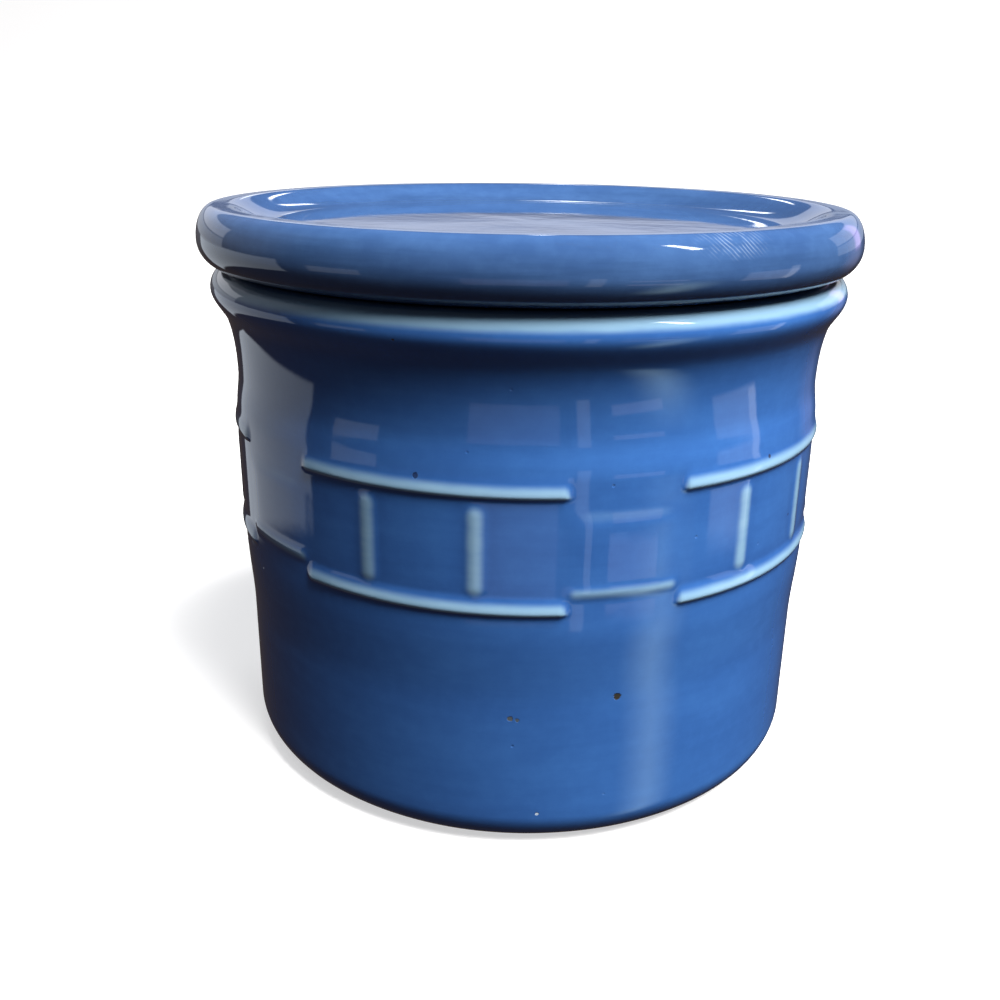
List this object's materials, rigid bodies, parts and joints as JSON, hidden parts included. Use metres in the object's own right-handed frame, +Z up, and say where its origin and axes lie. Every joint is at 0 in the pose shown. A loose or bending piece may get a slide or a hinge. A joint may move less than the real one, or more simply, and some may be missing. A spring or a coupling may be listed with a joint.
{
  "type": "butter crock",
  "caption": "Round glazed stoneware crock with a woven relief band and a dished lift-off lid, for keeping butter on the table.",
  "frame": {"origin": "middle of the crock's foot, on the surface it stands on", "axes": "+Z up along the axis of the round crock, -Y towards the front, +X to the right"},
  "size_m": [0.114, 0.114, 0.0971],
  "materials": {
    "crock_glaze": "glossy",
    "lid_glaze": "glossy"
  },
  "bodies": {
    "crock": {"crock": "crock_glaze"},
    "lid": {"lid": "lid_glaze"}
  },
  "joints": [
    {"name": "lid_lift", "type": "slide", "parent": "crock", "child": "lid", "axis": [0, 0, 1], "range_m": [0, 0.12]}
  ]
}
